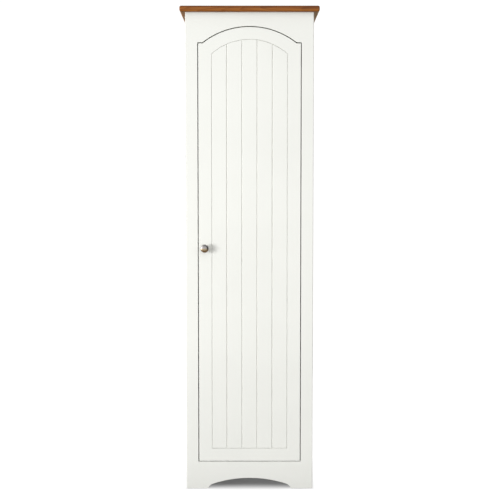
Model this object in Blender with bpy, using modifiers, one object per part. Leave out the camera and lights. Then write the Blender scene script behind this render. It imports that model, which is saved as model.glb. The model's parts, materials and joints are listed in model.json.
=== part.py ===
"""Tall single-door pantry cabinet: painted case, face frame with an arched door opening,
tongue-and-groove arched door on three concealed hinges, stained oak top.

Metres, +Z up, front towards -Y, hinge side at +X.  The origin is on the floor, in the middle of the
overall box.  Depths called "in" are measured from the front face of the face frame towards the back.
"""
import math

import bmesh
import bpy
from mathutils import Matrix, Vector

# ---- driving dimensions ---------------------------------------------------------------------
HEIGHT = 1.800
BODY_WIDTH = 0.474
BODY_DEPTH = 0.395
BOARD = 0.018
GAP = 0.0003

TOP_THICKNESS = 0.0215
TOP_OVERHANG = 0.020

KNOB_PROJECTION = 0.028
KNOB_RADIUS = 0.016
KNOB_X = -0.166
KNOB_Z = 0.909
KNOB_SEAT_RADIUS = 0.0086
KNOB_THREAD_RADIUS = 0.0022
KNOB_THREAD_DEPTH = 0.015
SCREW_RADIUS = 0.0020
SCREW_HEAD_RADIUS = 0.0048
SCREW_HEAD_HEIGHT = 0.0028
SCREW_HOLE_RADIUS = 0.0026
SCREW_REACH = 0.0136

FACE_Y = KNOB_PROJECTION - (BODY_DEPTH + KNOB_PROJECTION) / 2
BACK_Y = FACE_Y + BODY_DEPTH

GLIDE_THICKNESS = 0.002
GLIDE_RADIUS = 0.008
GLIDE_IN = 0.040
GLIDE_FROM_BACK = 0.025

FRAME_THICKNESS = 0.020
OPENING_HALF = 0.192
OPENING_BOTTOM = 0.1045
OPENING_SHOULDER = 1.6679
OPENING_ARC_RADIUS = 0.2828
ARC_CENTRE_Z = 1.4447

DOOR_GAP = 0.0025
DOOR_THICKNESS = 0.020
DOOR_HALF = OPENING_HALF - DOOR_GAP
DOOR_BOTTOM = OPENING_BOTTOM + DOOR_GAP
DOOR_SHOULDER = OPENING_SHOULDER - DOOR_GAP
DOOR_ARC_RADIUS = OPENING_ARC_RADIUS - DOOR_GAP

PANEL_HALF = 0.1407
PANEL_BOTTOM = 0.1546
PANEL_ARC_RADIUS = 0.2124
PANEL_ARC_CENTRE_Z = 1.4675
PLANK_COUNT = 5
PLANK_THICKNESS = 0.012
PLANK_RECESS = 0.0006
PLANK_CHAMFER = 0.0015
TONGUE = 0.003

APRON_APEX = 0.042
APRON_RADIUS = 0.440
APRON_HALF = 0.158
APRON_END_RADIUS = 0.030

BACK_THICKNESS = 0.006
RABBET_WIDTH = 0.010

BATTEN_DEPTH = 0.050
SHELF_FRONT_IN = 0.075
FIXED_SHELF_Z = 0.900
ADJUSTABLE_SHELF_Z = (0.372, 0.628, 1.284)
PIN_ROW_PITCH = 0.032
PIN_ROW_REACH = 2
PIN_COLUMNS_IN = (0.120, 0.345)
PIN_RADIUS = 0.0025
PIN_DEPTH = 0.008
PIN_REACH = 0.009
PIN_COLLAR_RADIUS = 0.0038
PIN_COLLAR_THICKNESS = 0.0009
SHELF_END_GAP = 0.0015
FIXING_RAIL_WIDTH = 0.070

HINGE_HEIGHTS = (0.230, 0.860, 1.540)
CUP_X = 0.167
CUP_RADIUS = 0.0170
CUP_WALL = 0.0010
CUP_DEPTH = 0.0117
CUP_RIM = 0.0008
CUP_LIP = 0.0014
CUP_BEVEL = 0.0010
ARM_PIVOT = (0.1715, 0.0180)
CUP_PIVOT = (0.1665, 0.0148)
KNEE_PIVOT = (0.1420, 0.0315)
LINK_HEIGHT = 0.006
LINK_HALF_WIDTH = 0.0022
PIVOT_PIN_RADIUS = 0.0015
PIVOT_HOLE_RADIUS = 0.0019
KNEE_HOLE_RADIUS = 0.0031
EYE_RADIUS = 0.0031
KNEE_EYE_RADIUS = 0.0045
EAR_OFFSET = 0.0095
EAR_REACH = 0.0225
EAR_RADIUS = 0.0055
EAR_HALF_WIDTH = 0.0054
PLATE_IN = (0.0340, 0.0660)
PLATE_THICKNESS = 0.0024
PLATE_HALF_HEIGHT = 0.0220
PLATE_BODY_HALF = 0.0080
PLATE_WING_HALF = 0.0060
ARM_CRANK = ((0.1780, 0.0240), (0.1840, 0.0315))
ARM_STRAIGHT_IN = 0.0400
ARM_HALF_THICKNESS = 0.0021
ARM_HALF_HEIGHT = 0.0105
ARM_PIN_SETBACK = 0.001
FORK_REACH = (0.006, 0.008)
KNEE_PIN_ROOT = 0.004

CATCH_Z = 1.060
CATCH_WIDTH = 0.042
CATCH_DEPTH = 0.015
CATCH_HALF_HEIGHT = 0.022
STRIKE_THICKNESS = 0.0014
STRIKE_HALF_HEIGHT = 0.018
STRIKE_EDGE_IN = 0.001

ROUND_SIDES = 24
BORE_SIDES = 32
PIN_SIDES = 12
EYE_SIDES = 16
ARC_STEP = math.radians(3.0)
OVERCUT = 0.010

CASE_BOTTOM = GLIDE_THICKNESS + GAP
CASE_TOP = HEIGHT - TOP_THICKNESS - GAP
CASE_HALF = BODY_WIDTH / 2
INNER_HALF = CASE_HALF - BOARD

# ---- colours (linear RGB), roughness, metallic ------------------------------------------------
PAINT = ("white_paint", (0.900, 0.900, 0.870), 0.45, 0.0)
OAK = ("stained_oak", (0.330, 0.130, 0.040), 0.50, 0.0)
PEWTER = ("satin_pewter", (0.330, 0.310, 0.290), 0.35, 1.0)
STEEL = ("nickel_plated_steel", (0.560, 0.550, 0.530), 0.30, 1.0)
PLASTIC = ("white_plastic", (0.750, 0.750, 0.730), 0.50, 0.0)
GLIDE = ("grey_nylon", (0.250, 0.250, 0.250), 0.60, 0.0)


# ---- scene, collections, materials -------------------------------------------------------------
def clear_scene():
    for item in list(bpy.data.objects):
        bpy.data.objects.remove(item, do_unlink=True)


def new_collection(name):
    collection = bpy.data.collections.new(name)
    bpy.context.scene.collection.children.link(collection)
    return collection


def material(finish):
    name, colour, roughness, metallic = finish
    found = bpy.data.materials.get(name)
    if found:
        return found
    made = bpy.data.materials.new(name)
    made.use_nodes = True
    shader = made.node_tree.nodes["Principled BSDF"]
    shader.inputs["Base Color"].default_value = (*colour, 1.0)
    shader.inputs["Roughness"].default_value = roughness
    shader.inputs["Metallic"].default_value = metallic
    return made


def keep(obj, finish):
    """Put a finished piece in the cabinet's collection."""
    obj.data.materials.clear()
    obj.data.materials.append(material(finish))
    PARTS.objects.link(obj)
    return obj


def hide_cutter(obj):
    CUTTERS.objects.link(obj)
    obj.hide_render = True
    obj.display_type = "WIRE"
    return obj


def boolean(obj, cutter, operation="DIFFERENCE"):
    step = obj.modifiers.new(operation.lower(), "BOOLEAN")
    step.operation = operation
    step.solver = "EXACT"
    step.object = cutter
    return obj


# ---- solids ------------------------------------------------------------------------------------
def box(name, low, high):
    """An axis-aligned board between two corners, with its origin at its centre."""
    centre = (Vector(low) + Vector(high)) / 2
    size = Vector(high) - Vector(low)
    mesh = bpy.data.meshes.new(name)
    cube = bmesh.new()
    bmesh.ops.create_cube(cube, size=1.0, matrix=Matrix.Diagonal((*size, 1.0)))
    cube.to_mesh(mesh)
    cube.free()
    obj = bpy.data.objects.new(name, mesh)
    obj.location = centre
    return obj


def board(name, x_range, y_range, z_range):
    low, high = zip(x_range, y_range, z_range)
    return box(name, low, high)


def cylinder(name, radius, length, centre, axis="Z", sides=ROUND_SIDES):
    mesh = bpy.data.meshes.new(name)
    round_bar = bmesh.new()
    bmesh.ops.create_cone(round_bar, cap_ends=True, segments=sides, radius1=radius,
                          radius2=radius, depth=length)
    round_bar.to_mesh(mesh)
    round_bar.free()
    smooth(mesh)
    obj = bpy.data.objects.new(name, mesh)
    obj.location = centre
    turn = {"X": (0.0, math.pi / 2, 0.0), "Y": (math.pi / 2, 0.0, 0.0), "Z": (0.0, 0.0, 0.0)}
    obj.rotation_euler = turn[axis]
    return obj


def smooth(mesh):
    mesh.shade_smooth()
    mesh.set_sharp_from_angle(angle=math.radians(35))


def plate(name, outline, thickness, matrix):
    """A flat outline thickened on both sides of its own plane, then placed by a matrix."""
    curve = bpy.data.curves.new(name, "CURVE")
    curve.dimensions = "2D"
    curve.fill_mode = "BOTH"
    curve.extrude = thickness / 2
    spline = curve.splines.new("POLY")
    spline.points.add(len(outline) - 1)
    for point, (u, v) in zip(spline.points, outline):
        point.co = (u, v, 0.0, 1.0)
    spline.use_cyclic_u = True
    source = bpy.data.objects.new(name + "_outline", curve)
    bpy.context.scene.collection.objects.link(source)
    bpy.context.view_layer.update()
    evaluated = source.evaluated_get(bpy.context.evaluated_depsgraph_get())
    mesh = bpy.data.meshes.new_from_object(evaluated)
    mesh.name = name
    weld = bmesh.new()
    weld.from_mesh(mesh)
    bmesh.ops.remove_doubles(weld, verts=weld.verts, dist=1e-6)
    bmesh.ops.recalc_face_normals(weld, faces=weld.faces)
    weld.to_mesh(mesh)
    weld.free()
    bpy.data.objects.remove(source, do_unlink=True)
    smooth(mesh)
    obj = bpy.data.objects.new(name, mesh)
    obj.matrix_world = matrix
    return obj


def upright_plate(name, outline, y_range):
    """Outline in (x, z), thickened along Y."""
    middle = sum(y_range) / 2
    matrix = Matrix.Translation((0.0, middle, 0.0)) @ Matrix.Rotation(math.pi / 2, 4, "X")
    return plate(name, outline, y_range[1] - y_range[0], matrix)


def lying_plate(name, outline, z_range):
    """Outline in (x, y), thickened along Z."""
    matrix = Matrix.Translation((0.0, 0.0, sum(z_range) / 2))
    return plate(name, outline, z_range[1] - z_range[0], matrix)


def cross_plate(name, outline, x_range):
    """Outline in (y, z), thickened along X."""
    middle = Matrix.Translation((sum(x_range) / 2, 0.0, 0.0))
    turn = Matrix(((0, 0, 1, 0), (1, 0, 0, 0), (0, 1, 0, 0), (0, 0, 0, 1)))
    return plate(name, outline, x_range[1] - x_range[0], middle @ turn)


def turned(name, profile, sides=ROUND_SIDES):
    """A turned piece about its own Z axis; the profile runs down its outer side."""
    mesh = bpy.data.meshes.new(name)
    points = [(radius, 0.0, height) for radius, height in profile]
    mesh.from_pydata(points, [(i, i + 1) for i in range(len(points) - 1)], [])
    obj = bpy.data.objects.new(name, mesh)
    screw = obj.modifiers.new("turn", "SCREW")
    screw.axis = "Z"
    screw.angle = 2 * math.pi
    screw.steps = sides
    screw.render_steps = sides
    screw.use_merge_vertices = True
    screw.merge_threshold = 1e-5
    screw.use_smooth_shade = True
    return obj


# ---- outlines ----------------------------------------------------------------------------------
def inside(depth):
    """Y of a point a given depth behind the face."""
    return FACE_Y + depth


def arc(centre, radius, start, end):
    """Points along an arc, both ends included."""
    count = max(2, math.ceil(abs(end - start) / ARC_STEP))
    angles = [start + (end - start) * i / count for i in range(count + 1)]
    return [(centre[0] + radius * math.cos(a), centre[1] + radius * math.sin(a)) for a in angles]


def arch_between(centre_z, radius, x_start, x_end):
    """The upper arc about (0, centre_z) from one x to another."""
    return arc((0.0, centre_z), radius, math.acos(x_start / radius), math.acos(x_end / radius))


def half_chord(centre_z, radius, z):
    return math.sqrt(radius ** 2 - (z - centre_z) ** 2)


def mirrored(outline):
    return [(-u, v) for u, v in reversed(outline)]


def eyed_bar(start, end, start_radius, end_radius, half_width):
    """A straight bar of even width between two round eyes."""
    heading = math.atan2(end[1] - start[1], end[0] - start[0])
    back = heading + math.pi
    near = math.asin(half_width / start_radius)
    far = math.asin(half_width / end_radius)
    first = coarse_arc(start, start_radius, heading + near, heading + 2 * math.pi - near)
    second = coarse_arc(end, end_radius, back + far, back + 2 * math.pi - far)
    return first + second


def bent_bar(path, half_width, nose_radius):
    """A bent bar of even width with a round nose at the first point of its path."""
    points = [Vector(point) for point in path]
    headings = [(b - a).normalized() for a, b in zip(points, points[1:])]
    left = []
    right = []
    for i in range(1, len(points)):
        after = headings[min(i, len(headings) - 1)]
        mitre = (headings[i - 1] + after).normalized()
        offset = Vector((-mitre.y, mitre.x)) * half_width / mitre.dot(after)
        left.append(tuple(points[i] + offset))
        right.append(tuple(points[i] - offset))
    heading = math.atan2(headings[0].y, headings[0].x)
    cut = math.asin(half_width / nose_radius)
    nose = coarse_arc(path[0], nose_radius, heading + cut, heading + 2 * math.pi - cut)
    return nose + right + left[::-1]


def coarse_arc(centre, radius, start, end, count=8):
    angles = [start + (end - start) * i / count for i in range(count + 1)]
    return [(centre[0] + radius * math.cos(a), centre[1] + radius * math.sin(a)) for a in angles]


def top_edge_inset():
    """(inset, height) pairs down the moulded edge of the top board: roundover, flat, round-under."""
    over = 0.0065
    under = 0.0075
    steps = 6
    angles = [math.pi / 2 * i / steps for i in range(steps + 1)]
    upper = [(over * (1 - math.sin(a)), TOP_THICKNESS - over * (1 - math.cos(a))) for a in angles]
    lower = [(under * (1 - math.cos(a)), under * (1 - math.sin(a))) for a in angles]
    return upper + lower


# ---- case --------------------------------------------------------------------------------------
def make_top_board():
    base = HEIGHT - TOP_THICKNESS
    half = CASE_HALF + TOP_OVERHANG
    front = FACE_Y - TOP_OVERHANG
    edge = top_edge_inset()
    front_profile = [(front + inset, base + height) for inset, height in edge]
    front_profile += [(BACK_Y, base), (BACK_Y, HEIGHT)]
    side_profile = [(half - inset, base + height) for inset, height in edge]
    outline = side_profile + mirrored(side_profile)
    top = cross_plate("top_board", front_profile, (-half - OVERCUT, half + OVERCUT))
    sides = upright_plate("top_board_sides", outline, (front - OVERCUT, BACK_Y + OVERCUT))
    keep(boolean(top, hide_cutter(sides), "INTERSECT"), OAK)


def make_side_panel(side, sign):
    """Side board with a rabbet for the back and rows of shelf-pin holes."""
    front = inside(FRAME_THICKNESS) + GAP
    rabbet_x = INNER_HALF + RABBET_WIDTH
    rabbet_y = BACK_Y - BACK_THICKNESS - GAP
    outline = [(INNER_HALF, front), (CASE_HALF, front), (CASE_HALF, BACK_Y), (rabbet_x, BACK_Y),
               (rabbet_x, rabbet_y), (INNER_HALF, rabbet_y)]
    if sign < 0:
        outline = mirrored(outline)
    panel = lying_plate(f"side_panel_{side}", outline, (CASE_BOTTOM, CASE_TOP))
    boolean(panel, pin_hole_cutter(side, sign))
    keep(panel, PAINT)


def pin_hole_cutter(side, sign):
    """All the shelf-pin holes of one side in one cutter."""
    holes = bmesh.new()
    radius = PIN_RADIUS + GAP
    length = PIN_DEPTH + OVERCUT
    x = sign * (INNER_HALF + PIN_DEPTH - length / 2)
    turn = Matrix.Rotation(math.pi / 2, 4, "Y")
    for z in pin_heights():
        for depth in PIN_COLUMNS_IN:
            place = Matrix.Translation((x, inside(depth), z)) @ turn
            bmesh.ops.create_cone(holes, cap_ends=True, segments=PIN_SIDES, radius1=radius,
                                  radius2=radius, depth=length, matrix=place)
    mesh = bpy.data.meshes.new(f"pin_holes_{side}")
    holes.to_mesh(mesh)
    holes.free()
    return hide_cutter(bpy.data.objects.new(f"pin_holes_{side}", mesh))


def pin_heights():
    """Centre heights of the holes around each adjustable shelf."""
    steps = range(-PIN_ROW_REACH, PIN_ROW_REACH + 1)
    return [z + step * PIN_ROW_PITCH for z in ADJUSTABLE_SHELF_Z for step in steps]


def make_case_boards():
    inner = (-INNER_HALF + GAP, INNER_HALF - GAP)
    front = inside(FRAME_THICKNESS) + GAP
    back = BACK_Y - BACK_THICKNESS - GAP
    below_top = CASE_TOP - BOARD - GAP
    keep(board("bottom_panel", inner, (front, back), (OPENING_BOTTOM - BOARD, OPENING_BOTTOM)), PAINT)
    keep(board("sub_top", inner, (front, back), (CASE_TOP - BOARD, CASE_TOP)), PAINT)
    keep(board("wall_fixing_rail", inner, (back - BOARD, back),
               (below_top - FIXING_RAIL_WIDTH, below_top)), PAINT)
    back_half = INNER_HALF + RABBET_WIDTH - GAP
    keep(board("back_panel", (-back_half, back_half), (BACK_Y - BACK_THICKNESS, BACK_Y),
               (OPENING_BOTTOM - BOARD, CASE_TOP)), PAINT)
    keep(board("hinge_batten", (OPENING_HALF, INNER_HALF - GAP), (front, front + BATTEN_DEPTH),
               (OPENING_BOTTOM + GAP, below_top)), PAINT)


def make_shelves():
    depth = (inside(SHELF_FRONT_IN), BACK_Y - BACK_THICKNESS - GAP)
    inner = (-INNER_HALF + GAP, INNER_HALF - GAP)
    keep(board("fixed_shelf", inner, depth, (FIXED_SHELF_Z - BOARD, FIXED_SHELF_Z)), PAINT)
    loose = (-INNER_HALF + SHELF_END_GAP, INNER_HALF - SHELF_END_GAP)
    for number, pin_z in enumerate(ADJUSTABLE_SHELF_Z, 1):
        base = pin_z + PIN_RADIUS + GAP
        keep(board(f"adjustable_shelf_{number}", loose, depth, (base, base + BOARD)), PAINT)
        make_shelf_pins(number, pin_z)


def make_shelf_pins(number, pin_z):
    """Four pins, each with a collar against the side panel and its tip under the shelf."""
    nose = 0.0006
    inner_end = -PIN_DEPTH + 2 * GAP
    profile = [(0.0, PIN_REACH), (PIN_RADIUS - nose, PIN_REACH), (PIN_RADIUS, PIN_REACH - nose),
               (PIN_RADIUS, PIN_COLLAR_THICKNESS), (PIN_COLLAR_RADIUS, PIN_COLLAR_THICKNESS),
               (PIN_COLLAR_RADIUS, 0.0), (PIN_RADIUS, 0.0), (PIN_RADIUS, inner_end),
               (0.0, inner_end)]
    for side, sign in (("left", -1), ("right", 1)):
        for place, depth in zip(("front", "rear"), PIN_COLUMNS_IN):
            pin = turned(f"shelf_pin_{number}_{side}_{place}", profile, PIN_SIDES)
            pin.location = (sign * (INNER_HALF - GAP), inside(depth), pin_z)
            pin.rotation_euler = (0.0, -sign * math.pi / 2, 0.0)
            keep(pin, STEEL)


def make_glides():
    places = {"front": inside(GLIDE_IN), "rear": BACK_Y - GLIDE_FROM_BACK}
    for side, sign in (("left", -1), ("right", 1)):
        for place, y in places.items():
            centre = (sign * (CASE_HALF - BOARD / 2), y, GLIDE_THICKNESS / 2)
            keep(cylinder(f"glide_{side}_{place}", GLIDE_RADIUS, GLIDE_THICKNESS, centre), GLIDE)


# ---- face frame --------------------------------------------------------------------------------
def make_face_frame():
    y_range = (FACE_Y, inside(FRAME_THICKNESS))
    for side, sign in (("left", -1), ("right", 1)):
        x_range = sorted((sign * OPENING_HALF, sign * CASE_HALF))
        keep(board(f"frame_stile_{side}", x_range, y_range, (CASE_BOTTOM, CASE_TOP)), PAINT)
    keep(upright_plate("frame_top_rail", frame_top_outline(), y_range), PAINT)
    keep(upright_plate("frame_bottom_rail", apron_outline(), y_range), PAINT)


def frame_top_outline():
    """Rail with the arched, shouldered head of the door opening cut in its lower edge."""
    half = OPENING_HALF - GAP
    spring = half_chord(ARC_CENTRE_Z, OPENING_ARC_RADIUS, OPENING_SHOULDER)
    arch = arch_between(ARC_CENTRE_Z, OPENING_ARC_RADIUS, -spring, spring)
    return [(-half, CASE_TOP), (-half, OPENING_SHOULDER)] + arch + [
        (half, OPENING_SHOULDER), (half, CASE_TOP)]


def apron_outline():
    """Bottom rail whose lower edge is a flat arch with rounded ends at the feet."""
    half = OPENING_HALF - GAP
    centre_z = APRON_APEX - APRON_RADIUS
    end_x = APRON_HALF - APRON_END_RADIUS
    reach = APRON_RADIUS - APRON_END_RADIUS
    end_z = centre_z + math.sqrt(reach ** 2 - end_x ** 2)
    tangent = math.atan2(end_z - centre_z, end_x)
    foot = math.asin((CASE_BOTTOM - end_z) / APRON_END_RADIUS)
    right = coarse_arc((end_x, end_z), APRON_END_RADIUS, foot, tangent)
    big = arc((0.0, centre_z), APRON_RADIUS, tangent, math.pi - tangent)
    return [(half, OPENING_BOTTOM), (half, CASE_BOTTOM)] + right + big[1:-1] + mirrored(right) + [
        (-half, CASE_BOTTOM), (-half, OPENING_BOTTOM)]


# ---- door --------------------------------------------------------------------------------------
def make_door_frame():
    y_range = (FACE_Y, inside(DOOR_THICKNESS))
    stile = door_stile_outline()
    left = upright_plate("door_stile_left", mirrored(stile), y_range)
    boolean(left, hide_cutter(cylinder("knob_screw_hole", SCREW_HOLE_RADIUS,
                                       DOOR_THICKNESS + 2 * OVERCUT,
                                       (KNOB_X, inside(DOOR_THICKNESS / 2), KNOB_Z), "Y")))
    keep(left, PAINT)
    right = upright_plate("door_stile_right", stile, y_range)
    for number, z in enumerate(HINGE_HEIGHTS, 1):
        length = CUP_DEPTH + GAP + OVERCUT
        centre = (CUP_X, inside(DOOR_THICKNESS + OVERCUT - length / 2), z)
        bore = cylinder(f"cup_bore_{number}", CUP_RADIUS + GAP, length, centre, "Y", BORE_SIDES)
        boolean(right, hide_cutter(bore))
    keep(right, PAINT)
    rail_half = PANEL_HALF - GAP
    keep(board("door_bottom_rail", (-rail_half, rail_half), y_range,
               (DOOR_BOTTOM, PANEL_BOTTOM)), PAINT)
    outer = arch_between(ARC_CENTRE_Z, DOOR_ARC_RADIUS, rail_half, -rail_half)
    inner = arch_between(PANEL_ARC_CENTRE_Z, PANEL_ARC_RADIUS, -rail_half, rail_half)
    keep(upright_plate("door_top_rail", outer + inner, y_range), PAINT)


def door_stile_outline():
    """Right stile: straight sides, a shoulder at the top corner, then the start of the arch."""
    spring = half_chord(ARC_CENTRE_Z, DOOR_ARC_RADIUS, DOOR_SHOULDER)
    arch = arch_between(ARC_CENTRE_Z, DOOR_ARC_RADIUS, spring, PANEL_HALF)
    return [(PANEL_HALF, DOOR_BOTTOM), (DOOR_HALF, DOOR_BOTTOM), (DOOR_HALF, DOOR_SHOULDER)] + arch


def make_planks():
    """Tongue-and-groove planks with chamfered front edges, cut to the arch at the top."""
    pitch = 2 * PANEL_HALF / PLANK_COUNT
    head = arch_between(PANEL_ARC_CENTRE_Z, PANEL_ARC_RADIUS - GAP, PANEL_HALF - GAP,
                        -PANEL_HALF + GAP)
    field = head + [(-PANEL_HALF + GAP, PANEL_BOTTOM + GAP), (PANEL_HALF - GAP, PANEL_BOTTOM + GAP)]
    y_range = (FACE_Y - OVERCUT, inside(DOOR_THICKNESS) + OVERCUT)
    limit = hide_cutter(upright_plate("panel_field", field, y_range))
    z_range = (PANEL_BOTTOM - OVERCUT, PANEL_ARC_CENTRE_Z + PANEL_ARC_RADIUS + OVERCUT)
    for number in range(PLANK_COUNT):
        left = -PANEL_HALF + number * pitch
        last = number == PLANK_COUNT - 1
        outline = plank_outline(left, left + pitch, number > 0, not last)
        plank = lying_plate(f"door_plank_{number + 1}", outline, z_range)
        keep(boolean(plank, limit, "INTERSECT"), PAINT)


def plank_outline(left, right, grooved, tongued):
    """Section of one plank in (x, y): a groove in its left edge and a tongue on its right."""
    left += GAP / 2
    right -= GAP / 2
    front = inside(PLANK_RECESS)
    back = front + PLANK_THICKNESS
    low = front + (PLANK_THICKNESS - TONGUE) / 2
    high = low + TONGUE
    outline = [(left, front + PLANK_CHAMFER), (left + PLANK_CHAMFER, front),
               (right - PLANK_CHAMFER, front), (right, front + PLANK_CHAMFER)]
    if tongued:
        outline += [(right, low + GAP), (right + TONGUE, low + GAP), (right + TONGUE, high - GAP),
                    (right, high - GAP)]
    outline += [(right, back), (left, back)]
    if grooved:
        depth = TONGUE + 2 * GAP
        outline += [(left, high), (left + depth, high), (left + depth, low), (left, low)]
    return outline


def make_knob():
    """Mushroom knob turned on its own axis, drilled for the screw that comes through the stile."""
    tip = KNOB_PROJECTION
    face = [(0.0, tip), (0.0060, tip - 0.0004), (0.0105, tip - 0.0016), (0.0140, tip - 0.0040),
            (0.0158, tip - 0.0072), (KNOB_RADIUS, tip - 0.0095), (0.0152, tip - 0.0115),
            (0.0125, tip - 0.0130), (0.0085, tip - 0.0142), (0.0064, tip - 0.0165)]
    stem = [(0.0060, 0.0065), (0.0068, 0.0042), (0.0082, 0.0030), (KNOB_SEAT_RADIUS, 0.0018),
            (KNOB_SEAT_RADIUS, GAP), (0.0, GAP)]
    knob = turned("knob", face + stem, BORE_SIDES)
    knob.location = (KNOB_X, FACE_Y, KNOB_Z)
    knob.rotation_euler = (math.pi / 2, 0.0, 0.0)
    thread = cylinder("knob_thread", KNOB_THREAD_RADIUS, 2 * KNOB_THREAD_DEPTH,
                      (KNOB_X, FACE_Y, KNOB_Z), "Y")
    keep(boolean(knob, hide_cutter(thread)), PEWTER)
    make_knob_screw()


def make_knob_screw():
    """Domed machine screw from behind the stile into the knob."""
    head = SCREW_HEAD_HEIGHT
    tip = -DOOR_THICKNESS - SCREW_REACH
    point = 0.0006
    profile = [(0.0, head), (0.0030, head - 0.0001), (0.0044, head - 0.0010),
               (SCREW_HEAD_RADIUS, GAP + 0.0001), (SCREW_HEAD_RADIUS - 0.0002, GAP),
               (SCREW_RADIUS, GAP), (SCREW_RADIUS, tip + point), (0.0, tip)]
    screw = turned("knob_screw", profile)
    screw.location = (KNOB_X, inside(DOOR_THICKNESS), KNOB_Z)
    screw.rotation_euler = (-math.pi / 2, 0.0, 0.0)
    keep(screw, STEEL)


# ---- concealed hinges ---------------------------------------------------------------------------
def pivot_point(pivot):
    """World (x, y) of a hinge pivot given as (x, depth behind the face)."""
    return (pivot[0], inside(pivot[1]))


def make_hinges():
    for number, z in enumerate(HINGE_HEIGHTS, 1):
        make_hinge_cup(number, z)
        make_hinge_plate(number, z)
        make_hinge_arm(number, z)
        make_inner_link(number, z)
        make_outer_link(number, z)


def make_hinge_cup(number, z):
    """Pressed cup sunk in the door, with two screw ears and a cross pin for the outer link."""
    bore = CUP_RADIUS - CUP_WALL
    lip = CUP_RADIUS + CUP_LIP
    floor = -CUP_DEPTH + CUP_WALL
    profile = [(0.0, floor), (bore, floor), (bore, CUP_RIM), (lip, CUP_RIM), (lip, GAP),
               (CUP_RADIUS, GAP), (CUP_RADIUS, -CUP_DEPTH + CUP_BEVEL),
               (CUP_RADIUS - CUP_BEVEL, -CUP_DEPTH), (0.0, -CUP_DEPTH)]
    cup = turned(f"hinge_cup_{number}", profile, BORE_SIDES)
    cup.location = (CUP_X, inside(DOOR_THICKNESS), z)
    cup.rotation_euler = (-math.pi / 2, 0.0, 0.0)
    boolean(cup, hinge_ears(number, z), "UNION")
    pin = cylinder(f"cup_pin_{number}", PIVOT_PIN_RADIUS, 2 * (bore + CUP_WALL / 2),
                   (*pivot_point(CUP_PIVOT), z), sides=PIN_SIDES)
    boolean(cup, hide_cutter(pin), "UNION")
    keep(cup, STEEL)


def hinge_ears(number, z):
    """The cup's screw flange, open over the cup."""
    x = CUP_X - EAR_OFFSET
    outline = eyed_bar((x, z - EAR_REACH), (x, z + EAR_REACH), EAR_RADIUS, EAR_RADIUS,
                       EAR_HALF_WIDTH)
    ears = upright_plate(f"ears_{number}", outline,
                         (inside(DOOR_THICKNESS) + GAP, inside(DOOR_THICKNESS) + CUP_RIM))
    opening = cylinder(f"ear_opening_{number}", CUP_RADIUS - CUP_WALL / 2, 2 * OVERCUT,
                       (CUP_X, inside(DOOR_THICKNESS), z), "Y", BORE_SIDES)
    return hide_cutter(boolean(ears, hide_cutter(opening)))


def make_hinge_plate(number, z):
    """Cruciform mounting plate screwed to the side of the batten."""
    middle = inside((PLATE_IN[0] + PLATE_IN[1]) / 2)
    half_length = (PLATE_IN[1] - PLATE_IN[0]) / 2
    quarter = [(PLATE_WING_HALF, PLATE_HALF_HEIGHT), (PLATE_WING_HALF, PLATE_BODY_HALF),
               (half_length, PLATE_BODY_HALF)]
    right = quarter + [(u, -v) for u, v in reversed(quarter)]
    outline = [(middle + u, z + v) for u, v in right + [(-u, -v) for u, v in right]]
    x_range = (OPENING_HALF - GAP - PLATE_THICKNESS, OPENING_HALF - GAP)
    keep(cross_plate(f"hinge_plate_{number}", outline, x_range), STEEL)


def make_hinge_arm(number, z):
    """Cranked arm clipped along the plate; its forked nose carries the inner link's pin."""
    straight_x = OPENING_HALF - PLATE_THICKNESS - 2 * GAP - ARM_HALF_THICKNESS
    corners = (ARM_PIVOT, *ARM_CRANK, (straight_x, ARM_STRAIGHT_IN),
               (straight_x, PLATE_IN[1] - ARM_HALF_THICKNESS))
    path = [pivot_point(corner) for corner in corners]
    outline = bent_bar(path, ARM_HALF_THICKNESS, EYE_RADIUS)
    arm = lying_plate(f"hinge_arm_{number}", outline, (z - ARM_HALF_HEIGHT, z + ARM_HALF_HEIGHT))
    nose = Vector((*pivot_point(ARM_PIVOT), z))
    reach = Vector((*FORK_REACH, LINK_HEIGHT + 2 * GAP))
    boolean(arm, hide_cutter(box(f"arm_slot_{number}", nose - reach, nose + reach)))
    pin = cylinder(f"arm_pin_{number}", PIVOT_PIN_RADIUS, 2 * (ARM_HALF_HEIGHT - ARM_PIN_SETBACK),
                   nose, sides=PIN_SIDES)
    boolean(arm, hide_cutter(pin), "UNION")
    keep(arm, STEEL)


def make_inner_link(number, z):
    """From the arm's pin to the knee, where its own pin stands up into the outer link."""
    start = pivot_point(ARM_PIVOT)
    knee = pivot_point(KNEE_PIVOT)
    outline = eyed_bar(start, knee, EYE_RADIUS, EYE_RADIUS, LINK_HALF_WIDTH)
    z_range = (z - GAP - LINK_HEIGHT, z - GAP)
    link = lying_plate(f"hinge_link_inner_{number}", outline, z_range)
    drill(link, f"inner_eye_{number}", start, PIVOT_HOLE_RADIUS, z_range)
    pin_length = 2 * LINK_HEIGHT
    pin = cylinder(f"knee_pin_{number}", PIVOT_PIN_RADIUS, pin_length,
                   (*knee, z - KNEE_PIN_ROOT + pin_length / 2), sides=PIN_SIDES)
    boolean(link, hide_cutter(pin), "UNION")
    keep(link, STEEL)


def make_outer_link(number, z):
    """From the cup's pin to the knee, with a wide eye that leaves the knee pin its play."""
    start = pivot_point(CUP_PIVOT)
    knee = pivot_point(KNEE_PIVOT)
    outline = eyed_bar(start, knee, EYE_RADIUS, KNEE_EYE_RADIUS, LINK_HALF_WIDTH)
    z_range = (z + GAP, z + GAP + LINK_HEIGHT)
    link = lying_plate(f"hinge_link_outer_{number}", outline, z_range)
    drill(link, f"outer_eye_{number}", start, PIVOT_HOLE_RADIUS, z_range)
    drill(link, f"knee_eye_{number}", knee, KNEE_HOLE_RADIUS, z_range)
    keep(link, STEEL)


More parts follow.
